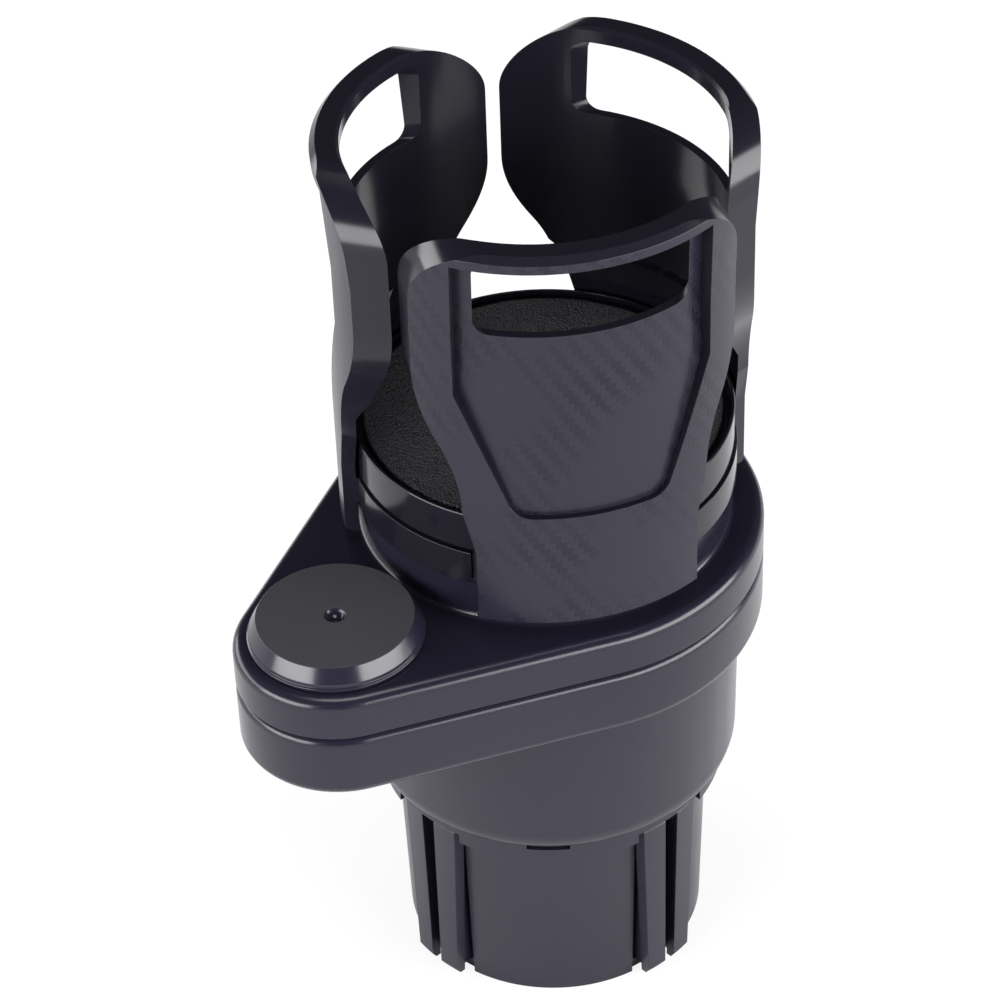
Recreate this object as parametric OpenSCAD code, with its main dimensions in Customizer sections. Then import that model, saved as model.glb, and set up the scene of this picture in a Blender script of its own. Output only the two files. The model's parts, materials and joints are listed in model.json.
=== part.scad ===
// Car cup holder with a second, swivelling tray.
// A plug with four spreading jaws stands in the car's own cup well. It carries a deep well,
// and over that a tray turns about a pivot at one side. The tray holds a drum with three
// spreading arms. Two scroll discs move the jaws and the arms.
// The origin is at the foot of the plug, on the axis of the well. The pivot lies on -X.

/* [Plug] */
// How much the plug narrows towards its foot, on the radius
plug_taper = 1.2; // [0:0.1:1.4]
// Height of the plug wall, from its foot to the collar
plug_h = 44.4; // [40:0.2:60]
// Thickness of the plug wall
plug_wall = 2.1; // [1.8:0.1:2.4]
// Thickness of the cover that closes the plug's foot
cover_t = 2.5; // [2:0.1:4]

/* [Jaws] */
// Width of a jaw pad at its top
jaw_w = 15.2; // [14.4:0.2:16]
// Width of a jaw pad at its foot
jaw_foot_w = 12; // [11.8:0.2:15]
// How far a closed jaw pad stands proud of the plug wall
jaw_proud = 3.1; // [3:0.1:3.5]
// Thickness of a jaw pad
jaw_t = 2.8; // [2.4:0.1:2.8]
// Gap beside the top of a jaw pad, in the collar
jaw_gap = 1.7; // [1:0.1:2]
// Width of the opening in the plug wall behind a jaw pad
jaw_window_w = 14.4; // [14:0.2:16]
// Width of the upright slot in a jaw pad, at its top
jaw_slot = 3.6; // [2:0.2:4]
// Width of the same slot at the pad's foot
jaw_foot_slot = 2.6; // [2:0.2:4]
// Height of a jaw pad's foot over the plug's foot
jaw_foot = 1; // [0.5:0.1:2]
// How far the jaw pads reach up into the collar
jaw_notch = 2; // [1.4:0.1:2.2]
// Width of the slide behind a jaw pad
jaw_slide_w = 11.8; // [10:0.2:12]
// Travel of a jaw for each radian that the dial turns, as a share of the scroll's radius
jaw_pitch = 0.1607; // [0.15:0.0001:0.17]
// Angle that the jaw dial turns
jaw_turn = 101; // [60:1:105]
// Radius of a jaw's pin
jaw_pin_r = 1.5; // [1.2:0.1:1.8]

/* [Well] */
// How far the collar overhangs the plug wall
collar_over = 3.6; // [3.6:0.1:4.4]
// Height of the collar band
collar_h = 4.8; // [4.4:0.2:8]
// Width of the tray's ledge outside the well wall
well_inset = 4.9; // [4.3:0.1:5.1]
// How much the well wall narrows towards its foot, on the radius
well_draft = 0.4; // [0:0.1:1]
// How far the shoulder draws in from the well wall to the collar
shoulder_in = 2.7; // [2.1:0.1:3.1]
// Height of the round shoulder between the collar and the well wall
shoulder_h = 4.6; // [3:0.2:8]
// Thickness of the well wall
well_wall = 2.4; // [1.8:0.1:3]
// Depth of the well from the top of its tray to its floor
well_depth = 51.5; // [45:0.5:70]
// Thickness of the well floor
floor_t = 3; // [2.4:0.1:4]
// Width of a snap slot in the collar
snap_w = 9.2; // [6:0.2:12]
// Gap between the jaw dial and the well wall
jaw_dial_gap = 5.1; // [2.1:0.1:9]
// Thickness of the jaw dial
jaw_dial_t = 4; // [3.4:0.1:5]
// Thickness of the jaw scroll
jaw_scroll_t = 3; // [2.6:0.1:4]

/* [Trays] */
// Radius of both trays round the well
tray_r = 45.5; // [45:0.1:47]
// Radius of both trays round the pivot
tray_end_r = 20.9; // [20.4:0.1:24]
// How far the pivot's axis stands outside the trays' round edge
pivot_over = 12.5; // [11:0.5:20]
// Height of the lower tray's edge
pan_h = 15; // [12:0.2:20]
// Height of the upper tray's edge
lid_h = 9.6; // [9:0.2:14]
// Thickness of the tray edges
tray_wall = 2.3; // [1.9:0.1:2.6]
// Thickness of the flat walls of both trays
deck_t = 2.4; // [2:0.1:2.8]
// Radius of the lower tray's bottom edge
pan_round = 2.5; // [1.5:0.1:3]
// Radius of the lower tray's top edge
pan_lip_round = 1.9; // [0.6:0.1:1.9]
// Radius of the upper tray's top edge
lid_round = 2.3; // [1:0.1:2.4]
// Air between the two trays
tray_gap = 0.4; // [0.3:0.05:0.8]

/* [Pivot] */
// Radius of the pivot post
post_r = 7; // [6:0.1:7.4]
// Wall of the pivot bush
bush_wall = 1.45; // [1.2:0.05:1.6]
// Radius of the pivot cap
cap_r = 17.9; // [17:0.1:18.5]
// Height of the pivot cap over the tray
cap_h = 5; // [4.4:0.1:6]

/* [Drum] */
// Width of the tray's ledge outside the neck under the drum
neck_inset = 7.3; // [6.5:0.1:8.5]
// Height of the neck
neck_h = 9.9; // [8:0.1:14]
// How far the fixed lower ring overhangs the neck
ring_over = 1.45; // [1.2:0.05:2.8]
// Height of the fixed lower ring
ring_h = 7.6; // [7:0.1:10]
// How far the turning dial stands in from the ring
dial_inset = 0.55; // [0.25:0.05:0.85]
// Height of the turning dial
dial_h = 9; // [8.4:0.1:12]
// Thickness of the cup mat
mat_t = 2; // [1.6:0.1:2.4]
// Depth of the mat's face under the dial's rim
mat_depth = 0.8; // [0.4:0.1:1.2]
// Angle that the arm dial turns
arm_turn = 95; // [60:1:100]
// Radius of an arm's pin
arm_pin_r = 2; // [1.6:0.1:2.1]

/* [Arms] */
// Height of an arm
arm_h = 89; // [86:0.5:100]
// Height of an arm's lower edge over the upper tray
arm_lift = 3.5; // [2.5:0.1:5]
// Thickness of an arm's lower part
arm_wall = 2.5; // [2:0.1:3]
// Thickness of an arm's upper part
arm_head_t = 4.7; // [4:0.1:5]
// How far the outer face flares out at the top
arm_flare = 1.1; // [0.4:0.1:1.6]
// Width of an arm's foot
arm_foot_w = 45; // [43:0.2:45.6]
// Width of an arm's waist
arm_waist_w = 49.2; // [47:0.2:51]
// Width of an arm's head
arm_head_w = 64; // [58:0.2:64.4]
// Radius of an arm's top corners
arm_corner_r = 14; // [8:0.5:16]
// Width of the window in an arm
window_w = 44; // [36:0.5:46]
// Height of the window in an arm
window_h = 16.9; // [12:0.1:20]
// Height of the bar over the window
bar_h = 3.4; // [2.6:0.1:5]
// Radius of the window's corners
window_corner_r = 3; // [2:0.1:5]
// Depth of the shield-shaped field on the outer face
field_depth = 0.8; // [0.4:0.1:1]

/* [Hidden] */
$fn = 96;

// Clearances that every fit uses
run_fit = 0.05;
slide_gap = 0.3;
fit_gap = 0.15;
far = 200;

pivot_d = tray_r + pivot_over;

// Heights of the base
z_collar = plug_h;
z_collar_top = z_collar + collar_h;
z_floor = z_collar_top + 0.8;
z_floor_low = z_floor - floor_t;
z_well = z_collar_top + shoulder_h;
z_tray = z_floor + well_depth;
z_seat = z_tray - deck_t;
z_pan = z_tray - pan_h;
jaw_scroll_drop = 3;
z_jaw_scroll = z_floor_low - jaw_scroll_drop - jaw_scroll_t;

// Radii of the base
well_r = tray_r - well_inset;
well_low_r = well_r - well_draft;
well_in = well_r - well_wall;
collar_r = well_low_r - shoulder_in;
floor_r = collar_r - well_wall;
plug_r = collar_r - collar_over;
plug_in = plug_r - plug_taper - plug_wall;
jaw_dial_r = floor_r - jaw_dial_gap;
jaw_scroll_r = jaw_dial_r - 2;
jaw_pin_at = jaw_scroll_r / 2;
jaw_lead = jaw_scroll_r * jaw_pitch;
jaw_face_r = plug_r + jaw_proud;
jaw_back_r = jaw_face_r - jaw_t;
jaw_window_half = jaw_window_w / 2;

// Heights of the tray, the drum and the arms
z_lid = z_tray + tray_gap;
z_lid_top = z_lid + lid_h;
z_hub = z_tray + 0.5;
z_neck_top = z_lid_top + neck_h;
z_ring_top = z_neck_top + ring_h;
z_dial = z_ring_top + slide_gap;
z_rim = z_dial + dial_h;
z_mat = z_rim - mat_depth - mat_t;
web_t = 2.4;
z_web = z_mat - web_t;
z_arm = z_lid_top + arm_lift;
z_arm_top = z_arm + arm_h;
ring_floor_t = 1.2;
dial_post_r = 6;
dial_hub_r = dial_post_r + 3;
hub_collar_r = dial_hub_r + 1.8;
z_hub_floor = z_web - 0.8;
z_foot = z_neck_top + ring_floor_t + 0.2;

// Radii of the drum and the arms
neck_r = tray_r - neck_inset;
ring_r = neck_r + ring_over;
dial_r = ring_r - dial_inset;
arm_in_r = ring_r + 0.35;
arm_out_r = arm_in_r + arm_wall;
arm_head_in_r = arm_out_r - arm_head_t;
cradle_scroll_r = dial_r - 4.5;
scroll_screw_at = cradle_scroll_r - 3.2;
arm_pin_at = hub_collar_r + arm_pin_r + 2.2;
arm_travel = scroll_screw_at - arm_pin_at - 6.45;
arm_lead = arm_travel / (arm_turn * PI / 180);
arm_angles = [0, 120, 240];
jaw_angles = [0, 90, 180, 270];
panel_angles = [45, 135, 225, 315];

// Screws
screw_r = 1.2;
screw_head_r = 2.8;
screw_head_t = 1.8;
boss_r = 3;

// Pivot
bush_in = post_r + run_fit;
bush_out = bush_in + bush_wall;
hub_r = bush_out + 2.3;
socket_r = hub_r + 3.5;
pivot_screw_r = 1.6;
z_post_top = z_lid_top - 1.9;
retaining_washer_t = 1.2;

// Colours
shell_black = "#222327";
gloss_black = "#17171b";
mat_black = "#1b1b1c";
cap_black = "#26272a";
steel = "#a9adb2";
acetal = "#d9d7cf";

// Angle between the line of centres and the radius to where a straight flank begins
flank = acos((tray_r - tray_end_r) / pivot_d);
flank_l = pivot_d * sin(flank);

function arc(r, a0, a1, n, c = [0, 0]) =
    [for (i = [0:n]) c + r * [cos(a0 + (a1 - a0) * i / n), sin(a0 + (a1 - a0) * i / n)]];

// Outline of the trays, drawn in from their edge. Its arcs stop just short of the straight flanks.
module teardrop(inset) {
    short = 1.5;
    polygon(concat(
        arc(tray_r - inset, flank + short - 180, 180 - flank - short, 60),
        arc(tray_end_r - inset, 180 - flank + short, 180 + flank - short, 30, [-pivot_d, 0])
    ));
}

// Sweeps a profile once round the tray's edge. The profile's x is 0 at the edge.
module round_tray() {
    rotate([0, 0, flank - 180])
        rotate_extrude(angle = 360 - 2 * flank)
            translate([tray_r, 0]) children();
    translate([-pivot_d, 0, 0])
        rotate([0, 0, 180 - flank])
            rotate_extrude(angle = 2 * flank)
                translate([tray_end_r, 0]) children();
    for (side = [0, 1])
        mirror([0, side, 0])
            rotate([0, 0, 180 - flank])
                translate([tray_r, flank_l, 0])
                    rotate([90, 0, 0])
                        linear_extrude(flank_l) children();
}

module rounded_field(w, h, r) {
    translate([-w / 2 + r, 0]) square([w - 2 * r, h]);
    translate([-w / 2, r]) square([w, h - 2 * r]);
    for (x = [-1, 1], y = [r, h - r])
        translate([x * (w / 2 - r), y]) circle(r = r);
}

// Scroll slot: a groove whose radius grows evenly with the angle, wound clockwise
function scroll_mid(r0, lead, a) = r0 + lead * a * PI / 180;
function scroll_edge(r0, lead, a, w) =
    let (r = scroll_mid(r0, lead, a), u = [cos(a), -sin(a)], t = [-sin(a), -cos(a)])
    r * u + w * (r * u - lead * t) / norm([r, lead]);

module scroll_slot(r0, lead, turn, w) {
    steps = ceil(turn / 4);
    polygon(concat(
        [for (i = [0:steps]) scroll_edge(r0, lead, turn * i / steps, w)],
        [for (i = [steps:-1:0]) scroll_edge(r0, lead, turn * i / steps, -w)]
    ));
    for (a = [0, turn])
        translate(scroll_mid(r0, lead, a) * [cos(a), -sin(a)]) circle(r = w + 0.04);
}

// Pan head screw with its shank pointing up, drawn from the underside of its head
module screw(shank_l, r = screw_r, head_r = screw_head_r, head_t = screw_head_t) {
    difference() {
        union() {
            translate([0, 0, -head_t]) cylinder(r = head_r, h = head_t);
            translate([0, 0, -head_t / 2]) cylinder(r = r, h = shank_l + head_t / 2);
        }
        for (a = [0, 90])
            rotate([0, 0, a]) translate([-head_r * 0.6, -0.35, -head_t - 1]) cube([head_r * 1.2, 0.7, 1.9]);
    }
}

module screw_down(shank_l, r = screw_r, head_r = screw_head_r, head_t = screw_head_t) {
    rotate([180, 0, 0]) screw(shank_l, r, head_r, head_t);
}

// Base

function both_sides(r, turn, x = 0) =
    [for (side = [-1, 1]) [x + r * cos(turn), side * r * sin(turn)]];

deck_screw_spots = concat(
    both_sides(well_r + 1.6, 143.7),
    both_sides(hub_r + 3.2, 142, -pivot_d)
);
lid_screw_spots = concat(
    both_sides(neck_r + 1.5, 22.8),
    both_sides(neck_r + 2.3, 147.1)
);
cover_screw_at = plug_in - 6.6;
cover_boss_h = 16;
cover_screw_l = 10;
dial_shaft_r = 5;
dial_boss_r = 9;
jaw_guide_t = 1.4;
jaw_guide_in = jaw_pin_at + 2;
notch_top = z_collar + jaw_notch + 0.4;
snap_h = 1.3;
z_snap = z_collar + 3;

// Well and lower tray in one moulding. The plug's round floor drops in and rests on its ledge.
module housing_outside() {
    shoulder = [for (i = [0:6])
        [collar_r + (well_low_r - collar_r) * sin(15 * i), z_collar_top + shoulder_h * (1 - cos(15 * i))]];
    rotate_extrude() polygon(concat(
        [[0, z_collar], [collar_r, z_collar]],
        shoulder,
        [[well_r, z_pan - 2], [well_r, z_seat], [0, z_seat]]
    ));
}

module housing_well() {
    rotate_extrude() polygon([
        [0, z_collar - 1], [plug_r + fit_gap, z_collar - 1], [plug_r + fit_gap, z_floor_low],
        [floor_r, z_floor_low], [floor_r, z_floor], [well_low_r - well_wall, z_well],
        [well_in, z_pan], [well_in, z_tray + 1], [0, z_tray + 1]
    ]);
}

// Lower tray: an upright edge with a round foot, a ledge for the deck and a flat floor
module pan_edge() {
    round_tray() polygon(concat(
        [[-pan_round - 1, z_pan]],
        arc(pan_round, -90, 0, 6, [-pan_round, z_pan + pan_round]),
        arc(pan_lip_round, 0, 90, 5, [-pan_lip_round, z_tray - pan_lip_round]),
        [[-tray_wall, z_tray], [-tray_wall, z_seat], [-tray_wall - 1.2, z_seat],
         [-tray_wall - 1.2, z_seat - 1.2], [-tray_wall, z_seat - 3],
         [-tray_wall, z_pan + deck_t + 0.8], [-pan_round - 1, z_pan + deck_t]]
    ));
}

module pan_floor() {
    translate([0, 0, z_pan]) linear_extrude(deck_t) teardrop(pan_round + 0.3);
    root = 1.6;
    rotate_extrude() polygon(concat(
        [[well_r - 1, z_pan + 0.5], [well_r - 1, z_pan - root]],
        arc(root, 180, 90, 5, [well_r + root, z_pan - root]),
        [[well_r + root, z_pan + 0.5]]
    ));
}

// Ribs that carry the deck and brace the pivot boss
module pan_ribs() {
    rib_t = 1.6;
    rib_h = z_seat - z_pan - 5;
    translate([-pivot_d, 0, z_pan + 1]) {
        for (a = [-20, 0, 20])
            rotate([0, 0, a])
                translate([0, -rib_t / 2, 0]) cube([pivot_d - well_r + abs(a) / 4 + 1, rib_t, rib_h]);
        for (a = [90, 180, 270])
            rotate([0, 0, a])
                translate([0, -rib_t / 2, 0]) cube([tray_end_r - 1, rib_t, rib_h]);
        cylinder(r = hub_r + 1, h = z_seat - z_pan - 1);
    }
}

// Guides of one jaw: two ribs for its slide and two returns that close the gap beside its pad
module jaw_guides() {
    slide_half = jaw_slide_w / 2 + fit_gap;
    for (side = [0, 1])
        mirror([0, side, 0]) {
            translate([jaw_guide_in, slide_half, cover_t + fit_gap])
                cube([plug_in - jaw_guide_in, jaw_guide_t, z_jaw_scroll - slide_gap - cover_t - fit_gap]);
            translate([plug_in - 1.7, slide_half, cover_t + fit_gap])
                cube([1.8, jaw_window_half + 1.6 - slide_half, z_floor_low + 0.5 - cover_t - fit_gap]);
        }
}

// Cuts in line with the jaws, open below
module jaw_openings(half) {
    for (a = jaw_angles)
        rotate([0, 0, a])
            translate([plug_in - 4, -half, -1]) cube([far, 2 * half, notch_top + 1]);
}

module base_plug() {
    tongue_play = 0.3;
    foot_lip_t = 1;
    color(shell_black) difference() {
        union() {
            difference() {
                union() {
                    difference() {
                        rotate_extrude() polygon([
                            [0, 0], [plug_r - plug_taper, 0], [plug_r, z_collar], [plug_r, z_floor_low],
                            [floor_r - fit_gap, z_floor_low], [floor_r - fit_gap, z_floor], [0, z_floor]
                        ]);
                        jaw_openings(jaw_window_half);
                    }
                    cylinder(r = plug_in + foot_lip_t, h = cover_t);
                }
                translate([0, 0, -1]) cylinder(r = plug_in, h = z_floor_low + 1);
            }
            for (a = jaw_angles) rotate([0, 0, a]) jaw_guides();
            for (a = panel_angles)
                rotate([0, 0, a]) {
                    translate([cover_screw_at, 0, cover_t]) cylinder(r = boss_r, h = cover_boss_h);
                    translate([cover_screw_at, -0.8, cover_t])
                        cube([plug_in - cover_screw_at + 0.6, 1.6, cover_boss_h]);
                    translate([floor_r - 2, -snap_w / 2 + tongue_play, z_snap + tongue_play])
                        cube([collar_r - floor_r + 0.8, snap_w - 2 * tongue_play, snap_h - 2 * tongue_play]);
                }
            translate([0, 0, z_floor_low - jaw_scroll_drop + slide_gap])
                cylinder(r = dial_boss_r, h = jaw_scroll_drop - slide_gap + 1);
        }
        translate([0, 0, z_floor_low - jaw_scroll_drop])
            cylinder(r = dial_shaft_r + run_fit, h = jaw_scroll_drop + floor_t + 1);
        for (a = panel_angles)
            rotate([0, 0, a]) translate([cover_screw_at, 0, 0])
                cylinder(r = screw_r + run_fit, h = cover_t + cover_boss_h - 2);
    }
}

module base_housing() {
    color(shell_black) difference() {
        union() {
            housing_outside();
            pan_edge();
            pan_floor();
            pan_ribs();
            translate([-pivot_d, 0, z_pan + 1]) cylinder(r = post_r, h = z_post_top - z_pan - 1);
            for (spot = deck_screw_spots)
                translate([spot[0], spot[1], z_pan + 1]) cylinder(r = boss_r, h = z_seat - z_pan - 1);
        }
        housing_well();
        jaw_openings(jaw_w / 2 + jaw_gap);
        for (a = panel_angles)
            rotate([0, 0, a]) translate([floor_r - 1, -snap_w / 2, z_snap]) cube([far, snap_w, snap_h]);
        for (spot = deck_screw_spots)
            translate([spot[0], spot[1], z_pan + deck_t + 1]) cylinder(r = screw_r + run_fit, h = far);
        translate([-pivot_d, 0, z_pan + deck_t + 2]) cylinder(r = pivot_screw_r + run_fit, h = far);
    }
}

module base_bottom_cover() {
    sink = 1.9;
    color(shell_black) difference() {
        cylinder(r = plug_in - fit_gap, h = cover_t);
        for (a = panel_angles)
            rotate([0, 0, a]) translate([cover_screw_at, 0, -1]) {
                cylinder(r = screw_r + 0.2, h = cover_t + 2);
                cylinder(r = screw_head_r + 0.2, h = 1 + sink);
            }
    }
}

module bottom_cover_screws() {
    sink = 1.9;
    color(steel)
        for (a = panel_angles)
            rotate([0, 0, a]) translate([cover_screw_at, 0, sink]) screw(cover_t + cover_screw_l - sink);
}

deck_sink = 1.8;

module base_deck() {
    color(shell_black) difference() {
        translate([0, 0, z_seat]) linear_extrude(deck_t) teardrop(tray_wall + fit_gap);
        translate([0, 0, z_seat - 1]) cylinder(r = well_in, h = deck_t + 2);
        translate([-pivot_d, 0, z_seat - 1]) cylinder(r = post_r + 0.2, h = deck_t + 2);
        for (spot = deck_screw_spots)
            translate([spot[0], spot[1], z_seat - 1]) {
                cylinder(r = screw_r + 0.2, h = deck_t + 2);
                translate([0, 0, deck_t - deck_sink + 1]) cylinder(r = screw_head_r + 0.2, h = deck_sink + 1);
            }
    }
}

module deck_screws() {
    color(steel)
        for (spot = deck_screw_spots)
            translate([spot[0], spot[1], z_tray - deck_sink])
                screw_down(8, screw_r, screw_head_r, deck_sink - 0.3);
}

// Jaw drive

tip_r = 4.6;
tip_h = 1.5;
shaft_screw_r = 1.5;

module jaw_scroll() {
    color(shell_black) translate([0, 0, z_jaw_scroll]) difference() {
        cylinder(r = jaw_scroll_r, h = jaw_scroll_t);
        for (a = jaw_angles)
            translate([0, 0, -1]) rotate([0, 0, a])
                linear_extrude(jaw_scroll_t + 2)
                    scroll_slot(jaw_pin_at, jaw_lead, jaw_turn + 1, jaw_pin_r + fit_gap);
        translate([0, 0, jaw_scroll_t - tip_h - fit_gap]) cylinder(r = tip_r + fit_gap, h = 10, $fn = 6);
        translate([0, 0, -1]) cylinder(r = shaft_screw_r + 0.2, h = 10);
    }
}

module jaw_dial() {
    grip_r = 5;
    z_low = z_floor + slide_gap;
    color(shell_black) difference() {
        union() {
            translate([0, 0, z_low]) cylinder(r = jaw_dial_r, h = jaw_dial_t);
            translate([0, 0, z_jaw_scroll + jaw_scroll_t])
                cylinder(r = dial_shaft_r, h = z_low + 1 - z_jaw_scroll - jaw_scroll_t);
            translate([0, 0, z_jaw_scroll + jaw_scroll_t - tip_h]) cylinder(r = tip_r, h = tip_h + 0.5, $fn = 6);
        }
        for (a = [0:60:300])
            rotate([0, 0, a]) translate([jaw_dial_r - 8.5, 0, z_low + jaw_dial_t - 2.2])
                cylinder(r = grip_r, h = 5);
        for (a = [0:10:350])
            rotate([0, 0, a]) translate([jaw_dial_r + 0.4, 0, z_low - 1]) cylinder(r = 1, h = jaw_dial_t + 2);
        translate([0, 0, z_jaw_scroll]) cylinder(r = shaft_screw_r + run_fit, h = z_low + 1 - z_jaw_scroll);
    }
}

module jaw_dial_screw() {
    color(steel) translate([0, 0, z_jaw_scroll])
        screw(z_floor - z_jaw_scroll, shaft_screw_r, 4, 2);
}

// One jaw: a pad with an upright slot, on a hollow slide that carries the scroll's pin
module jaw(at) {
    z_low = cover_t + slide_gap;
    slide_h = z_jaw_scroll - slide_gap - z_low;
    pad_top = z_collar + jaw_notch;
    pin_wall = 3;
    skin = 1.6;
    color(shell_black) rotate([0, 0, at]) difference() {
        union() {
            intersection() {
                rotate_extrude() polygon([
                    [jaw_back_r, jaw_foot], [jaw_face_r - 1.5, jaw_foot], [jaw_face_r - 0.5, jaw_foot + 1.5],
                    [jaw_face_r, pad_top - 0.6], [jaw_face_r - 0.6, pad_top], [jaw_back_r, pad_top]
                ]);
                rotate([90, 0, 90]) linear_extrude(far) polygon([
                    [-jaw_foot_w / 2, 0], [jaw_foot_w / 2, 0], [jaw_w / 2, pad_top + 1], [-jaw_w / 2, pad_top + 1]
                ]);
            }
            translate([jaw_pin_at - pin_wall, -jaw_slide_w / 2, z_low])
                cube([jaw_back_r + 0.6 - jaw_pin_at + pin_wall, jaw_slide_w, slide_h]);
            translate([jaw_pin_at, 0, z_low + slide_h - 1])
                cylinder(r = jaw_pin_r, h = 1 + jaw_scroll_t);
        }
        translate([jaw_pin_at + pin_wall, -jaw_slide_w / 2 + skin, z_low + skin])
            cube([jaw_back_r - 0.3 - jaw_pin_at - pin_wall, jaw_slide_w - 2 * skin, slide_h - 2 * skin]);
        translate([jaw_back_r - 1, 0, 0]) rotate([90, 0, 90]) linear_extrude(jaw_t + 4) polygon([
            [-jaw_foot_slot / 2, -1], [jaw_foot_slot / 2, -1],
            [jaw_slot / 2, pad_top + 1], [-jaw_slot / 2, pad_top + 1]
        ]);
    }
}

module jaw_right() { jaw(0); }
module jaw_rear() { jaw(90); }
module jaw_pivot_side() { jaw(180); }
module jaw_front() { jaw(270); }

// Pivot

module friction_washer() {
    color(acetal) translate([-pivot_d, 0, z_tray]) difference() {
        cylinder(r = hub_r - 0.2, h = z_hub - z_tray);
        translate([0, 0, -1]) cylinder(r = post_r + slide_gap, h = 3);
    }
}

module pivot_bush() {
    color(acetal) translate([-pivot_d, 0, z_hub]) difference() {
        cylinder(r = bush_out, h = z_post_top - 0.2 - z_hub);
        translate([0, 0, -1]) cylinder(r = bush_in, h = 20);
    }
}

module retaining_washer() {
    color(steel) translate([-pivot_d, 0, z_post_top]) difference() {
        cylinder(r = hub_r + 1.6, h = retaining_washer_t);
        translate([0, 0, -1]) cylinder(r = pivot_screw_r + 0.2, h = retaining_washer_t + 2);
    }
}

module pivot_screw() {
    color(steel) translate([-pivot_d, 0, z_post_top + retaining_washer_t]) screw_down(14, pivot_screw_r, 3.8, 2.2);
}

module pivot_cap() {
    skin = 1.8;
    foot_r = cap_r - 0.7;
    band_r = cap_r - 0.4;
    top_r = cap_r - 2;
    foot_step = 0.35;
    rim_t = 0.6;
    band_h = 1.9;
    dimple_r = 2.4;
    dimple_edge = 25;
    top = z_lid_top + cap_h;
    color(cap_black) translate([-pivot_d, 0, 0]) rotate_extrude() polygon(concat(
        [[0, top - skin - 0.6], [socket_r - 1.3, top - skin - 0.6], [socket_r - 1.3, z_lid_top - 1.3],
         [socket_r - 0.2, z_lid_top - 1.3], [socket_r - 0.2, z_lid_top], [foot_r, z_lid_top],
         [foot_r, z_lid_top + foot_step], [cap_r, z_lid_top + foot_step],
         [cap_r, z_lid_top + foot_step + rim_t], [band_r, z_lid_top + foot_step + rim_t + 0.2],
         [band_r, z_lid_top + band_h], [top_r + 0.1, top - 0.3], [top_r - 0.2, top]],
        arc(dimple_r, -dimple_edge, -80, 4, [0, top + dimple_r * sin(dimple_edge)]),
        [[0, top + dimple_r * (sin(dimple_edge) - sin(80))]]
    ));
}

// Upper tray, with the hub of the pivot and the neck of the drum in one moulding

plate_sink = 1.5;
z_plate_top = z_lid + slide_gap + 2.4;

module swivel_tray() {
    color(shell_black) difference() {
        union() {
            round_tray() polygon(concat(
                [[-tray_wall, z_lid], [-0.4, z_lid], [0, z_lid + 0.4]],
                arc(lid_round, 0, 90, 6, [-lid_round, z_lid_top - lid_round]),
                [[-tray_wall - 1, z_lid_top], [-tray_wall - 1, z_lid_top - deck_t],
                 [-tray_wall, z_lid_top - deck_t]]
            ));
            translate([0, 0, z_lid_top - deck_t]) linear_extrude(deck_t) teardrop(tray_wall + 0.4);
            translate([0, 0, z_lid_top - 1]) cylinder(r = neck_r, h = neck_h + 1);
            rotate_extrude() polygon(concat(
                [[neck_r - 1, z_lid_top - 0.5]],
                [[neck_r - 1, z_lid_top + 1.2]],
                arc(1.2, 180, 270, 4, [neck_r + 1.2, z_lid_top + 1.2]),
                [[neck_r + 1.2, z_lid_top - 0.5]]
            ));
            translate([-pivot_d, 0, z_hub]) cylinder(r = hub_r, h = z_post_top - 0.2 - z_hub);
            translate([-pivot_d, 0, z_post_top - 2.2]) cylinder(r = socket_r + 2, h = z_lid_top - z_post_top + 2.2);
            for (spot = lid_screw_spots)
                translate([spot[0], spot[1], z_plate_top])
                    cylinder(r = boss_r, h = z_lid_top - 1 - z_plate_top);
        }
        translate([0, 0, z_lid - 1])
            cylinder(r = neck_r - 2.2, h = z_neck_top - 2.4 - z_lid + 1);
        translate([-pivot_d, 0, z_lid - 1]) cylinder(r = bush_out + run_fit, h = 20);
        translate([-pivot_d, 0, z_post_top - 0.2]) cylinder(r = socket_r, h = 20);
        for (spot = lid_screw_spots)
            translate([spot[0], spot[1], z_lid]) cylinder(r = screw_r + run_fit, h = lid_h - 1.6);
        for (a = arm_angles)
            rotate([0, 0, a + 60]) translate([ring_screw_at, 0, z_neck_top - 5])
                cylinder(r = screw_r + 0.4, h = 10);
    }
}

module tray_bottom_plate() {
    color(shell_black) difference() {
        translate([0, 0, z_lid + slide_gap])
            linear_extrude(z_plate_top - z_lid - slide_gap) teardrop(tray_wall + fit_gap);
        translate([-pivot_d, 0, z_lid]) cylinder(r = hub_r + 0.2, h = lid_h);
        for (spot = lid_screw_spots)
            translate([spot[0], spot[1], z_lid]) {
                cylinder(r = screw_r + 0.2, h = z_plate_top - z_lid + 1);
                cylinder(r = screw_head_r + 0.2, h = slide_gap + plate_sink);
            }
    }
}

module tray_plate_screws() {
    color(steel)
        for (spot = lid_screw_spots)
            translate([spot[0], spot[1], z_lid + slide_gap + plate_sink])
                screw(lid_h - 4, screw_r, screw_head_r, plate_sink - 0.1);
}

// Drum

ring_screw_at = neck_r - 5.2;
arm_channel_half = arm_foot_w / 2 + slide_gap;

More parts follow.
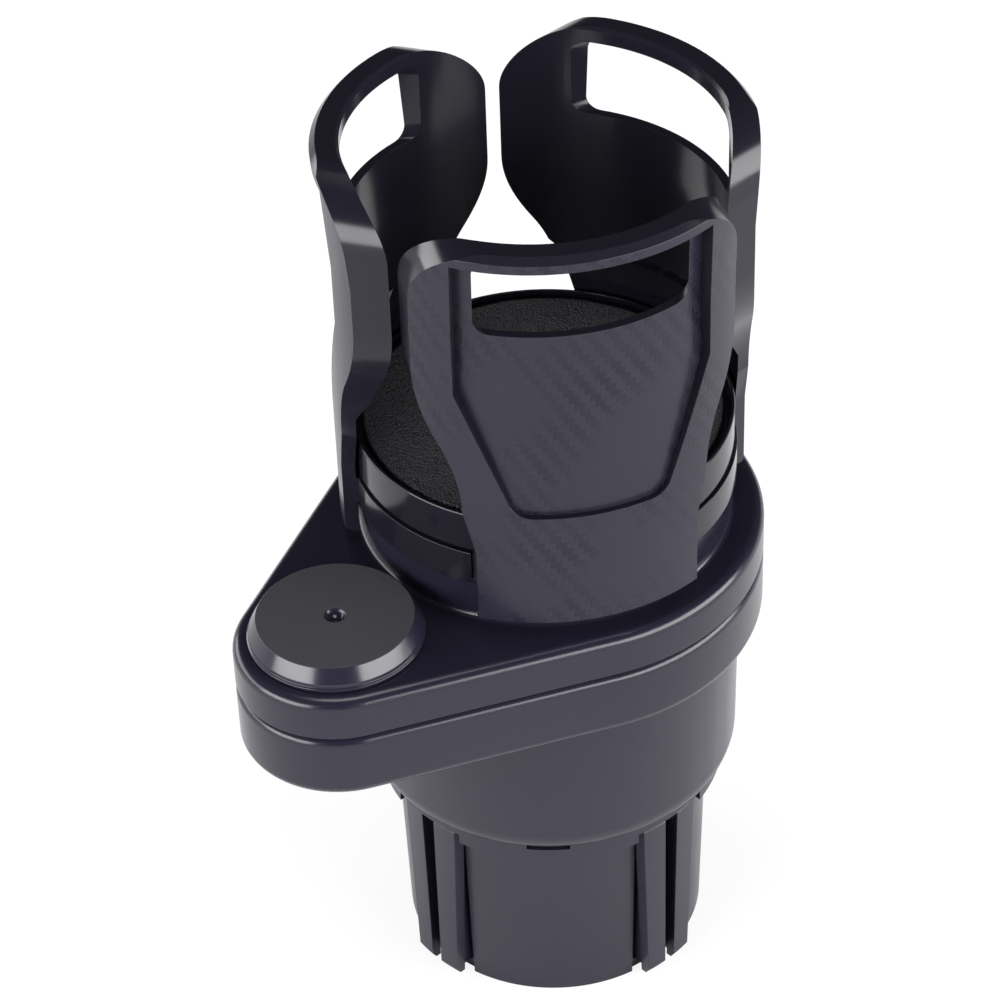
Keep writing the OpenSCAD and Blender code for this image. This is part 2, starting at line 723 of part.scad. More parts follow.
module cradle_ring() {
    color(gloss_black) difference() {
        union() {
            translate([0, 0, z_neck_top]) cylinder(r = ring_r, h = ring_floor_t);
            difference() {
                translate([0, 0, z_neck_top]) cylinder(r = ring_r, h = ring_h);
                for (a = arm_angles)
                    rotate([0, 0, a])
                        translate([0, -arm_channel_half, z_neck_top + ring_floor_t])
                            cube([far, 2 * arm_channel_half, far]);
                translate([0, 0, z_neck_top + ring_floor_t]) cylinder(r = ring_screw_at - 9, h = far);
            }
            translate([0, 0, z_neck_top]) cylinder(r = dial_post_r, h = z_hub_floor + 0.05 - z_neck_top);
        }
        for (a = arm_angles)
            rotate([0, 0, a + 60]) translate([ring_screw_at, 0, z_neck_top - 1])
                cylinder(r = screw_r + run_fit, h = ring_h - 0.6);
        translate([0, 0, z_neck_top + 1]) cylinder(r = 1.4 + run_fit, h = 40);
    }
}

module cradle_ring_screws() {
    color(steel)
        for (a = arm_angles)
            rotate([0, 0, a + 60]) translate([ring_screw_at, 0, z_neck_top - 2.4]) screw(ring_h - 0.4);
}

scroll_screw_turn = 20;

module cradle_scroll() {
    t = z_web - z_dial;
    color(gloss_black) translate([0, 0, z_dial]) difference() {
        cylinder(r = cradle_scroll_r, h = t);
        translate([0, 0, -1]) cylinder(r = hub_collar_r + 0.1, h = t + 2);
        for (a = arm_angles)
            translate([0, 0, -1]) rotate([0, 0, a])
                linear_extrude(t + 2)
                    scroll_slot(arm_pin_at, arm_lead, arm_turn + 1, arm_pin_r + fit_gap);
        for (a = arm_angles)
            rotate([0, 0, a + scroll_screw_turn]) translate([scroll_screw_at, 0, -1]) {
                cylinder(r = screw_r + 0.2, h = t + 2);
                cylinder(r = 2.8, h = 1 + 1.8);
            }
    }
}

module scroll_screws() {
    color(steel)
        for (a = arm_angles)
            rotate([0, 0, a + scroll_screw_turn]) translate([scroll_screw_at, 0, z_dial + 1.8])
                screw(z_mat - z_dial - 2.4, screw_r, 2.6, 1.4);
}

module cradle_dial() {
    rim_t = 0.7;
    lip = dial_r - 2.1;
    color(gloss_black) difference() {
        rotate_extrude() polygon([
            [dial_post_r + run_fit, z_foot + 0.6], [dial_hub_r, z_foot + 0.6],
            [dial_hub_r, z_dial], [hub_collar_r, z_dial], [hub_collar_r, z_web],
            [dial_r - 2, z_web], [dial_r - 2, z_dial], [dial_r - 0.3, z_dial], [dial_r, z_dial + 0.3],
            [dial_r, z_rim - 0.3], [dial_r - 0.2, z_rim], [dial_r - rim_t, z_rim],
            [dial_r - rim_t, z_rim - 2.1], [lip, z_rim - 2.1], [lip, z_mat], [dial_hub_r, z_mat],
            [dial_hub_r, z_hub_floor], [dial_post_r + run_fit, z_hub_floor]
        ]);
        for (a = arm_angles)
            rotate([0, 0, a + scroll_screw_turn]) translate([scroll_screw_at, 0, z_web - 1])
                cylinder(r = screw_r + run_fit, h = z_mat - z_web + 0.6);
    }
}

module dial_washer() {
    color(steel) translate([0, 0, z_hub_floor + 0.05]) difference() {
        cylinder(r = dial_hub_r - 0.3, h = 1);
        translate([0, 0, -1]) cylinder(r = 1.6, h = 5);
    }
}

module dial_screw() {
    color(steel) translate([0, 0, z_hub_floor + 1.05]) screw_down(10, 1.4, 3.2, 1.8);
}

module cup_mat() {
    mat_r = dial_r - 2.3;
    color(mat_black) rotate_extrude() polygon([
        [0, z_mat], [mat_r, z_mat], [mat_r, z_mat + mat_t - 0.4], [mat_r - 0.4, z_mat + mat_t],
        [0, z_mat + mat_t]
    ]);
}

// Arms

arm_sector = 59.3;
arm_cut_at = 20;
arm_cut_l = arm_out_r;
waist_rise = 26.5;
head_rise = 58.5;
foot_rise = 17;
flare_rise = 68;
z_flare = z_arm + flare_rise;

// Face-on outline of an arm: a straight foot, a waist, a swelling side and a round-cornered head
module arm_outline() {
    dx = (arm_head_w - arm_waist_w) / 2;
    dz = head_rise - waist_rise;
    sway = 2 * atan(dx / dz);
    sway_r = dz / 2 / sin(sway);
    mid_x = (arm_head_w + arm_waist_w) / 4;
    mid_z = (head_rise + waist_rise) / 2;
    head = arm_head_w / 2;
    polygon([
        [-arm_foot_w / 2, 0], [arm_foot_w / 2, 0], [arm_foot_w / 2, foot_rise],
        [arm_waist_w / 2, waist_rise + 0.1], [-arm_waist_w / 2, waist_rise + 0.1], [-arm_foot_w / 2, foot_rise]
    ]);
    for (side = [0, 1])
        mirror([side, 0]) {
            difference() {
                translate([-1, waist_rise]) square([mid_x + 1, mid_z - waist_rise]);
                translate([arm_waist_w / 2 + sway_r, waist_rise]) circle(r = sway_r);
            }
            translate([-1, mid_z - 0.05]) square([mid_x + 1, head_rise - mid_z + 0.1]);
            intersection() {
                translate([mid_x - 1, mid_z - 0.05]) square([head - mid_x + 1, head_rise - mid_z + 0.1]);
                translate([head - sway_r, head_rise]) circle(r = sway_r);
            }
        }
    translate([-head, head_rise]) square([2 * head, arm_h - head_rise - arm_corner_r]);
    translate([-head + arm_corner_r, head_rise])
        square([2 * (head - arm_corner_r), arm_h - head_rise]);
    for (side = [-1, 1])
        translate([side * (head - arm_corner_r), arm_h - arm_corner_r]) circle(r = arm_corner_r);
}

module arm_wall_section() {
    z0 = z_arm;
    rotate([0, 0, -arm_sector]) rotate_extrude(angle = 2 * arm_sector) polygon([
        [arm_in_r, z0], [arm_out_r - 0.5, z0], [arm_out_r, z0 + 0.5], [arm_out_r, z_flare],
        [arm_out_r + arm_flare, z_arm_top - 1.4], [arm_out_r + arm_flare - 1.2, z_arm_top],
        [arm_head_in_r + 0.6, z_arm_top], [arm_head_in_r, z_arm_top - 0.6],
        [arm_head_in_r, z0 + 37], [arm_in_r, z0 + 31]
    ]);
}

// Shield-shaped field that is sunk into the outer face round and below the window
module arm_field() {
    low = waist_rise + 0.5;
    knee_rise = 28;
    knee = low + knee_rise;
    corner = 4.6;
    side_tilt = 20;
    top = arm_h - bar_h;
    half = window_w / 2 + 3.3;
    corner_x = half - (corner + sin(side_tilt) * (knee - low - corner)) / cos(side_tilt);
    polygon(concat(
        arc(corner, -90, -side_tilt, 6, [corner_x, low + corner]),
        [[half, knee], [half, top], [-half, top], [-half, knee]],
        arc(corner, 180 + side_tilt, 270, 6, [-corner_x, low + corner])
    ));
}

module arm_field_shell() {
    r0 = arm_out_r - field_depth;
    outside = 6;
    z_field_top = z_arm_top - 1.4;
    rotate([0, 0, -50]) rotate_extrude(angle = 100) polygon([
        [r0, z_arm], [r0, z_flare], [r0 + arm_flare, z_field_top], [r0 + outside, z_field_top], [r0 + outside, z_arm]
    ]);
}

module arm_foot() {
    skin = 2;
    foot_in = arm_pin_at + 2;
    difference() {
        intersection() {
            translate([foot_in, -arm_foot_w / 2, z_foot]) cube([far, arm_foot_w, z_ring_top - z_foot]);
            translate([0, 0, z_foot - 1]) cylinder(r = arm_out_r - 0.8, h = 20);
        }
        intersection() {
            translate([foot_in + skin, -arm_foot_w / 2 + skin, z_foot - 1])
                cube([far, arm_foot_w - 2 * skin, z_ring_top - z_foot - 1.2]);
            translate([0, 0, z_foot - 1]) cylinder(r = arm_in_r - 1, h = 20);
        }
    }
    translate([arm_pin_at - 3, -8, z_foot]) cube([foot_in - arm_pin_at + 4, 16, z_ring_top - z_foot]);
    translate([arm_pin_at, 0, z_ring_top - 1]) cylinder(r = arm_pin_r, h = z_web - z_ring_top + 0.7);
}

module arm(at) {
    color(gloss_black) rotate([0, 0, at]) {
        difference() {
            intersection() {
                arm_wall_section();
                translate([arm_cut_at / 2, 0, z_arm]) rotate([90, 0, 90])
                    linear_extrude(arm_cut_l) arm_outline();
            }
            translate([arm_cut_at, 0, z_arm_top - bar_h - window_h]) rotate([90, 0, 90])
                linear_extrude(arm_cut_l) rounded_field(window_w, window_h, window_corner_r);
            intersection() {
                arm_field_shell();
                translate([arm_cut_at, 0, z_arm]) rotate([90, 0, 90]) linear_extrude(arm_cut_l) arm_field();
            }
        }
        arm_foot();
    }
}

module arm_right() { arm(arm_angles[0]); }
module arm_rear() { arm(arm_angles[1]); }
module arm_front() { arm(arm_angles[2]); }

base_housing();
base_plug();
base_bottom_cover();
bottom_cover_screws();
base_deck();
deck_screws();
jaw_scroll();
jaw_dial();
jaw_dial_screw();
jaw_right();
jaw_rear();
jaw_pivot_side();
jaw_front();
friction_washer();
pivot_bush();
retaining_washer();
pivot_screw();
pivot_cap();
swivel_tray();
tray_bottom_plate();
tray_plate_screws();
cradle_ring();
cradle_ring_screws();
cradle_scroll();
scroll_screws();
cradle_dial();
dial_washer();
dial_screw();
cup_mat();
arm_right();
arm_rear();
arm_front();
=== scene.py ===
import json
import math

import bmesh
import bpy
from mathutils import Matrix, Vector

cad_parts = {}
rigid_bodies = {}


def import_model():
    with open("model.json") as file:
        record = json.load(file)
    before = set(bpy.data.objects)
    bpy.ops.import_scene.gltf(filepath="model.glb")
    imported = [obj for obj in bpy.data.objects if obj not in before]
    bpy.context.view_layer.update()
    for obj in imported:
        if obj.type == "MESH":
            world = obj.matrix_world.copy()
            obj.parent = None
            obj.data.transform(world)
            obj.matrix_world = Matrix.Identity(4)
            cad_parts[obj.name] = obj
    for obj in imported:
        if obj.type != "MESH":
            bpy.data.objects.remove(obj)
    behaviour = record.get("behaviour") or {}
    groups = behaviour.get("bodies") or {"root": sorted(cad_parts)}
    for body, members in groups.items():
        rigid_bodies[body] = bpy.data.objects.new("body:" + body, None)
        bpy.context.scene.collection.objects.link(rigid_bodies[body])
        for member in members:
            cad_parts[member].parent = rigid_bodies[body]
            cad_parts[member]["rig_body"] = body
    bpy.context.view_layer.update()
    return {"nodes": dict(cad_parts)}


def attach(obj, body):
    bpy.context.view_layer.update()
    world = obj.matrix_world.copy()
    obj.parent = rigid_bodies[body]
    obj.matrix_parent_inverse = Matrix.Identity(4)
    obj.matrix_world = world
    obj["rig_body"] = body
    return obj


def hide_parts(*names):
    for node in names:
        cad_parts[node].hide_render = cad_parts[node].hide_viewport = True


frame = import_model()
nodes = frame["nodes"]
mm = 0.001


# Turns an sRGB hex code to the linear colour that shaders take
def linearColour(code):
    channels = [int(code[first:first + 2], 16) / 255 for first in (1, 3, 5)]
    return tuple(share / 12.92 if share <= 0.04045 else ((share + 0.055) / 1.055) ** 2.4
                 for share in channels) + (1.0,)


# A socket goes by its name, or by its number where names repeat, as on Math and Mix. On Mix, 0 is
# the factor, 2 and 3 take the numbers, 6 and 7 take the colours, and output 2 is the colour.
def addNode(tree, kind, settings=None, links=None):
    node = tree.nodes.new("ShaderNode" + kind)
    for name, value in (settings or {}).items():
        if isinstance(name, int) or name in node.inputs:
            node.inputs[name].default_value = value
        else:
            setattr(node, name, value)
    for name, socket in (links or {}).items():
        tree.links.new(socket, node.inputs[name])
    return node


def newMaterial(name):
    material = bpy.data.materials.new(name)
    material.use_nodes = True
    material.node_tree.nodes.clear()
    return material, material.node_tree


def closeMaterial(tree, shader):
    addNode(tree, "OutputMaterial", links={"Surface": shader.outputs[0]})


# Moulded ABS, spark-eroded mould: near black with a faint violet cast, a satin sheen broken by a
# fine even grain. The real grain is about 0.15 mm, drawn at 0.35 mm so that it shows.
satinAbs = {"colour": "#1d1b28", "roughness": 0.22, "ior": 1.45, "grain": 0.35, "grainDepth": 0.010,
            "cloudSize": 14.0, "cloudShare": 0.05}

# Moulded ABS, polished mould: the same black with a wet gloss, and faint flow waves
glossAbs = {"colour": "#15141c", "roughness": 0.12, "ior": 1.38, "grain": 9.0, "grainDepth": 0.015,
            "cloudSize": 20.0, "cloudShare": 0.04}

# The same polish on the arms' edges and insides, a little softer
armAbs = {"colour": "#191821", "roughness": 0.16, "ior": 1.4, "grain": 9.0, "grainDepth": 0.01,
          "cloudSize": 20.0, "cloudShare": 0.04}

# The pivot cap's bevel, between satin and gloss
capAbs = {"colour": "#201e2b", "roughness": 0.19, "ior": 1.5, "grain": 0.5, "grainDepth": 0.002,
          "cloudSize": 12.0, "cloudShare": 0.03}

# Moulded ABS, dull etched mould: the flat top of the pivot cap, a shade lighter
dullAbs = {"colour": "#333237", "roughness": 0.55, "ior": 1.5, "grain": 0.4, "grainDepth": 0.02,
           "cloudSize": 10.0, "cloudShare": 0.05}

# Natural acetal, moulded: milky white with a waxy sheen
whiteAcetal = {"colour": "#d9d6cc", "roughness": 0.4, "ior": 1.48, "grain": 0.5, "grainDepth": 0.004,
               "cloudSize": 8.0, "cloudShare": 0.04}


# Grain is the bump's size in mm, and the cloud makes the gloss uneven
def mouldedPlastic(name, look):
    material, tree = newMaterial(name)
    place = addNode(tree, "TexCoord").outputs["Object"]
    cloud = addNode(tree, "TexNoise", {"Scale": 1 / (look["cloudSize"] * mm), "Detail": 3.0},
                    {"Vector": place})
    wear = addNode(tree, "MapRange", {"To Min": look["roughness"] - look["cloudShare"],
                                      "To Max": look["roughness"] + look["cloudShare"]},
                   {"Value": cloud.outputs[0]})
    grain = addNode(tree, "TexNoise", {"Scale": 1 / (look["grain"] * mm), "Detail": 2.0},
                    {"Vector": place})
    bump = addNode(tree, "Bump", {"Strength": 1.0, "Distance": look["grainDepth"] * mm},
                   {"Height": grain.outputs[0]})
    shader = addNode(tree, "BsdfPrincipled",
                     {"Base Color": linearColour(look["colour"]), "IOR": look["ior"]},
                     {"Roughness": wear.outputs[0], "Normal": bump.outputs[0]})
    closeMaterial(tree, shader)
    return material


# Carbon-look film, hot pressed and stretched upward: a 2 by 2 twill under a satin lacquer, its tows
# 1.1 mm wide and 1.6 mm high. Tows that run up and tows that run across catch the light in turn,
# which draws soft diagonal ribs, and the press has flattened them but for some patches.
# The two tow colours are one black film painted in two shades: the weft colour is a painted sheen and
# the warp colour painted shade, standing for how the tows catch the light in turn.
twillFilm = {"warpShade": "#191722", "weftSheen": "#211f2b", "roughness": 0.24, "roughWeft": 0.29, "ior": 1.38,
             "tow": 1.1, "towUp": 1.6, "crown": 0.018, "radius": 42.5, "patch": 16.0,
             "patchRange": (0.42, 0.66)}


def twillPlastic(name, look):
    material, tree = newMaterial(name)
    place = addNode(tree, "TexCoord").outputs["Object"]
    parts = addNode(tree, "SeparateXYZ", links={0: place})
    turn = addNode(tree, "Math", {"operation": "ARCTAN2"},
                   {0: parts.outputs["Y"], 1: parts.outputs["X"]})
    around = addNode(tree, "Math", {"operation": "MULTIPLY", 1: look["radius"] / look["tow"]},
                     {0: turn.outputs[0]})
    up = addNode(tree, "Math", {"operation": "MULTIPLY", 1: 1 / (look["towUp"] * mm)},
                 {0: parts.outputs["Z"]})
    column = addNode(tree, "Math", {"operation": "FLOOR"}, {0: around.outputs[0]})
    row = addNode(tree, "Math", {"operation": "FLOOR"}, {0: up.outputs[0]})
    step = addNode(tree, "Math", {"operation": "ADD"}, {0: column.outputs[0], 1: row.outputs[0]})
    # Of every four tows, the first two lie over
    cell = addNode(tree, "Math", {"operation": "FLOORED_MODULO", 1: 4.0}, {0: step.outputs[0]})
    over = addNode(tree, "Math", {"operation": "LESS_THAN", 1: 1.5}, {0: cell.outputs[0]})
    crowns = []
    for way in (around, up):
        share = addNode(tree, "Math", {"operation": "FRACT"}, {0: way.outputs[0]})
        wave = addNode(tree, "Math", {"operation": "MULTIPLY", 1: math.pi}, {0: share.outputs[0]})
        crowns.append(addNode(tree, "Math", {"operation": "SINE"}, {0: wave.outputs[0]}))
    height = addNode(tree, "Mix", {"data_type": "FLOAT"},
                     {0: over.outputs[0], 2: crowns[1].outputs[0], 3: crowns[0].outputs[0]})
    patch = addNode(tree, "TexNoise", {"Scale": 1 / (look["patch"] * mm), "Detail": 2.0},
                    {"Vector": place})
    shown = addNode(tree, "MapRange", {"From Min": look["patchRange"][0],
                                       "From Max": look["patchRange"][1]},
                    {"Value": patch.outputs[0]})
    bump = addNode(tree, "Bump", {"Distance": look["crown"] * mm},
                   {"Height": height.outputs[0], "Strength": shown.outputs[0]})
    # Painted sheen: where the pattern shows, tows that lie over take the darker warp colour and the
    # rest the lighter weft colour
    seen = addNode(tree, "Math", {"operation": "MULTIPLY"}, {0: over.outputs[0], 1: shown.outputs[0]})
    colour = addNode(tree, "Mix", {"data_type": "RGBA", 6: linearColour(look["weftSheen"]),
                                   7: linearColour(look["warpShade"])}, {0: seen.outputs[0]})
    rough = addNode(tree, "MapRange", {"To Min": look["roughWeft"], "To Max": look["roughness"]},
                    {"Value": seen.outputs[0]})
    shader = addNode(tree, "BsdfPrincipled", {"IOR": look["ior"]},
                     {"Base Color": colour.outputs[2], "Roughness": rough.outputs[0],
                      "Normal": bump.outputs[0]})
    closeMaterial(tree, shader)
    return material


# Nitrile rubber, moulded with granules of 0.5 mm: a dull black, sandy face. The granule tops carry a
# painted highlight in the lighter crest colour, and the hollows between them painted shade.
grainRubber = {"colour": "#111113", "litCrest": "#35343a", "roughness": 0.5, "ior": 1.52, "grit": 0.5,
               "depth": 0.3}


def granularRubber(name, look):
    material, tree = newMaterial(name)
    place = addNode(tree, "TexCoord").outputs["Object"]
    cells = addNode(tree, "TexVoronoi", {"Scale": 1 / (look["grit"] * mm), "feature": "F1"},
                    {"Vector": place})
    dome = addNode(tree, "Math", {"operation": "SUBTRACT", 0: 1.0}, {1: cells.outputs["Distance"]})
    bump = addNode(tree, "Bump", {"Strength": 1.0, "Distance": look["depth"] * mm},
                   {"Height": dome.outputs[0]})
    # Painted highlight and shade: lighter at each granule's top, darker towards the hollows between
    # granules
    colour = addNode(tree, "Mix", {"data_type": "RGBA", 6: linearColour(look["litCrest"]),
                                   7: linearColour(look["colour"])}, {0: cells.outputs["Distance"]})
    shader = addNode(tree, "BsdfPrincipled", {"IOR": look["ior"], "Roughness": look["roughness"]},
                     {"Base Color": colour.outputs[2], "Normal": bump.outputs[0]})
    closeMaterial(tree, shader)
    return material


# Zinc-plated steel screws: a light grey metal whose shine is a little uneven, by fine clouds
zincSteel = {"colour": "#a9abb0", "roughness": (0.24, 0.42), "cloudsPerMetre": 900.0}


def platedSteel(name, look):
    material, tree = newMaterial(name)
    place = addNode(tree, "TexCoord").outputs["Object"]
    cloud = addNode(tree, "TexNoise", {"Scale": look["cloudsPerMetre"], "Detail": 4.0},
                    {"Vector": place})
    rough = addNode(tree, "MapRange", {"To Min": look["roughness"][0], "To Max": look["roughness"][1]},
                    {"Value": cloud.outputs[0]})
    shader = addNode(tree, "BsdfPrincipled",
                     {"Base Color": linearColour(look["colour"]), "Metallic": 1.0},
                     {"Roughness": rough.outputs[0]})
    closeMaterial(tree, shader)
    return material


shellBlack = mouldedPlastic("satinAbs", satinAbs)
glossBlack = mouldedPlastic("glossAbs", glossAbs)
armGloss = mouldedPlastic("armAbs", armAbs)
capGloss = mouldedPlastic("capAbs", capAbs)
dullBlack = mouldedPlastic("dullAbs", dullAbs)
twillBlack = twillPlastic("twillFilm", twillFilm)
matBlack = granularRubber("grainRubber", grainRubber)
screwSteel = platedSteel("zincSteel", zincSteel)
bushAcetal = mouldedPlastic("whiteAcetal", whiteAcetal)
print("materials made")


# The camera was fitted to the photograph: place and lens in mm, heading, tilt and roll in degrees
cameraFit = {"place": (-389.8, -417.4, 577.3), "heading": -42.1, "down": 39.13, "roll": -2.115,
             "lens": 127.5, "sensor": 36, "clip": (0.01, 20)}


def makeCamera(fit):
    camera = bpy.data.objects.new("camera", bpy.data.cameras.new("camera"))
    bpy.context.scene.collection.objects.link(camera)
    turn = (Matrix.Rotation(math.radians(fit["heading"]), 4, "Z")
            @ Matrix.Rotation(math.radians(90 - fit["down"]), 4, "X")
            @ Matrix.Rotation(math.radians(fit["roll"]), 4, "Z"))
    camera.matrix_world = Matrix.Translation(Vector(fit["place"]) * mm) @ turn
    camera.data.sensor_width = fit["sensor"]
    camera.data.lens = fit["lens"]
    camera.data.clip_start, camera.data.clip_end = fit["clip"]
    bpy.context.scene.camera = camera


makeCamera(cameraFit)

# Floor, world and lamps, in metres
studio = {
    "floorWhite": "#f4f4f5", "floorSize": 8.0, "floorRough": 0.9,
    "glow": 1.05, "glowShare": 0.8,  # the floor's own white, and its share of what is seen
    "shade": (0.05, 0.17),  # painted shadow round the foot: from here to there, gloss sees that white come in
    "worldGrey": "#e8e9ee", "worldStrength": 0.05, "aim": (-0.01, 0.0, 0.11),
    "lamps": (  # name, direction and height in degrees, distance, size, radiance
        ("leftBox", 174, 14, 1.2, (1.1, 0.56), 10.0),
        ("farLeftBox", 118, 14, 1.2, (1.3, 0.42), 5.0),
        ("rightBox", 291, 15, 1.2, (1.7, 0.6), 9.5),
        ("topBox", 40, 88, 1.5, (0.7, 0.7), 5.0),
    ),
}


# The camera sees a nearly even white with a soft shadow. Gloss on the object sees that white too, with
# a painted shadow close to the foot:
# there the floor's glow fades out, standing in for the shade the object casts round its foot.
def paperWhite(look):
    material, tree = newMaterial("paperWhite")
    paper = addNode(tree, "BsdfPrincipled",
                    {"Base Color": linearColour(look["floorWhite"]), "Roughness": look["floorRough"]})
    glow = addNode(tree, "Emission", {"Color": linearColour("#ffffff"), "Strength": look["glow"]})
    path = addNode(tree, "LightPath")
    place = addNode(tree, "TexCoord").outputs["Object"]
    away = addNode(tree, "VectorMath", {"operation": "LENGTH"}, {0: place})
    # Painted shadow: for gloss the floor's glow fades in with distance from the foot, darkest next to
    # it
    clear = addNode(tree, "MapRange", {"From Min": look["shade"][0], "From Max": look["shade"][1],
                                       "interpolation_type": "SMOOTHSTEP"},
                    {"Value": away.outputs["Value"]})
    mirrored = addNode(tree, "Math", {"operation": "MAXIMUM"},
                       {0: path.outputs["Is Glossy Ray"], 1: path.outputs["Is Transmission Ray"]})
    paintedShadowGloss = addNode(tree, "Math", {"operation": "MULTIPLY"},
                     {0: mirrored.outputs[0], 1: clear.outputs[0]})
    seen = addNode(tree, "Math", {"operation": "MAXIMUM"},
                   {0: path.outputs["Is Camera Ray"], 1: paintedShadowGloss.outputs[0]})
    share = addNode(tree, "Math", {"operation": "MULTIPLY", 1: look["glowShare"]}, {0: seen.outputs[0]})
    shader = addNode(tree, "MixShader",
                     links={0: share.outputs[0], 1: paper.outputs[0], 2: glow.outputs[0]})
    closeMaterial(tree, shader)
    return material


def makeFloor(look):
    bm = bmesh.new()
    bmesh.ops.create_grid(bm, x_segments=1, y_segments=1, size=look["floorSize"] / 2)
    mesh = bpy.data.meshes.new("floor")
    bm.to_mesh(mesh)
    bm.free()
    floor = bpy.data.objects.new("floor", mesh)
    bpy.context.scene.collection.objects.link(floor)
    mesh.materials.append(paperWhite(look))


def makeWorld(look):
    world = bpy.data.worlds.new("studio")
    world.use_nodes = True
    sky = world.node_tree.nodes["Background"]
    sky.inputs["Color"].default_value = linearColour(look["worldGrey"])
    sky.inputs["Strength"].default_value = look["worldStrength"]
    bpy.context.scene.world = world


def makeLamps(look):
    aim = Vector(look["aim"])
    for name, turn, height, distance, size, radiance in look["lamps"]:
        lamp = bpy.data.lights.new(name, "AREA")
        lamp.shape = "RECTANGLE"
        lamp.size, lamp.size_y = size
        lamp.energy = radiance * math.pi * size[0] * size[1]
        box = bpy.data.objects.new(name, lamp)
        bpy.context.scene.collection.objects.link(box)
        away = Vector((math.cos(math.radians(turn)) * math.cos(math.radians(height)),
                       math.sin(math.radians(turn)) * math.cos(math.radians(height)),
                       math.sin(math.radians(height))))
        box.location = aim + away * distance
        box.rotation_euler = away.to_track_quat("Z", "Y").to_euler()


makeFloor(studio)
makeWorld(studio)
makeLamps(studio)
bpy.context.scene.view_settings.view_transform = "Standard"
print("camera and studio made")

# How a node's mesh is merged, and which of its edges count as sharp: mm and degrees
moulding = {"mergeGap": 0.002, "flatAngle": 0.6, "sharpAngle": 32, "smoothAngle": 38}


# A dressed piece is a copy of a node's mesh, merged, with its edges rounded as a mould rounds them
def rawCopy(name):
    bm = bmesh.new()
    bm.from_mesh(nodes[name].data)
    bmesh.ops.remove_doubles(bm, verts=bm.verts, dist=moulding["mergeGap"] * mm)
    bmesh.ops.dissolve_limit(bm, angle_limit=math.radians(moulding["flatAngle"]), verts=bm.verts,
                             edges=bm.edges)
    return bm


def bevelEdges(bm, edges, width, segments):
    bmesh.ops.bevel(bm, geom=edges, offset=width * mm, offset_type="OFFSET", affect="EDGES",
                    segments=segments, profile=0.5, material=-1, clamp_overlap=True)


def isSharp(edge, angle=moulding["sharpAngle"]):
    return len(edge.link_faces) == 2 and edge.calc_face_angle(0) > math.radians(angle)


# Puts the mesh in the scene in place of the node, on the node's own body, with the given materials
def finishPiece(bm, name, node, materials):
    for face in bm.faces:
        face.smooth = True
    for edge in bm.edges:
        edge.smooth = len(edge.link_faces) != 2 or (
            edge.calc_face_angle(0) < math.radians(moulding["smoothAngle"]))
    mesh = bpy.data.meshes.new(name)
    bm.to_mesh(mesh)
    bm.free()
    for material in materials:
        mesh.materials.append(material)
    piece = bpy.data.objects.new(name, mesh)
    bpy.context.scene.collection.objects.link(piece)
    even = piece.modifiers.new("evenShade", "WEIGHTED_NORMAL")
    even.mode = "FACE_AREA"
    even.keep_sharp = True
    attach(piece, nodes[node]["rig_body"])
    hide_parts(node)
    print(node, len(mesh.polygons), "faces")


# Rounding of the edges in mm, its segments, and the material
dressed = {
    "base_plug": (0.35, 2, shellBlack),
    "base_housing": (0.35, 2, shellBlack),
    "jaw_right": (0.5, 3, shellBlack),
    "jaw_rear": (0.5, 3, shellBlack),
    "jaw_pivot_side": (0.5, 3, shellBlack),
    "jaw_front": (0.5, 3, shellBlack),
    "swivel_tray": (0.3, 2, shellBlack),
    "cradle_ring": (0.45, 3, glossBlack),
    "cradle_dial": (0.5, 3, glossBlack),
    "base_deck": (0.3, 2, shellBlack),
    "base_bottom_cover": (0.3, 2, shellBlack),
    "jaw_dial": (0.3, 2, shellBlack),
    "cup_mat": (0.2, 2, matBlack),
}
for name, (width, segments, material) in dressed.items():
    bm = rawCopy(name)
    bevelEdges(bm, [edge for edge in bm.edges if isSharp(edge)], width, segments)
    finishPiece(bm, name.replace("_", "-") + "-dressed", name, [material])


# How far a face looks away from the cradle's axis: 1 is outward, 0 sideways or up, -1 inward
def faceOut(face):
    centre = face.calc_center_median()
    reach = max(math.hypot(centre.x, centre.y), 1e-6)
    return (centre.x * face.normal.x + centre.y * face.normal.y) / reach


# Outer faces of an arm, in the two sheets that the field's step parts: the frame and the field
def outerSheets(bm, outer):
    loose = {face for face in bm.faces if faceOut(face) > outer}
    sheets = []
    while loose:
        sheet = []
        ahead = [loose.pop()]
        while ahead:
            face = ahead.pop()
            sheet.append(face)
            near = {other for edge in face.edges for other in edge.link_faces if other in loose}
            loose -= near
            ahead += near
        sheets.append(sheet)
    sheets.sort(key=lambda sheet: -sum(face.calc_area() for face in sheet))
    return set(sheets[0]), set(sheets[1])


# Lengths and heights in mm. The last five say which way a face must look to count as outer, to
# carry the film, to line the window, to be inner, and to be the top.
armForm = {
    "sink": (0.45, 2.0), "sinkFoot": 140.0, "sinkHead": 183.0,  # the field's extra depth, low and high
    "windowHalf": 22.0, "windowFoot": 183.7, "windowHead": 200.6, "windowSlack": 0.3,
    "rimThin": 2.1, "topRound": 0.7, "edgeRound": 0.35,
    "outer": 0.9, "film": 0.95, "lining": 0.6, "inner": -0.8, "up": 0.1,
}


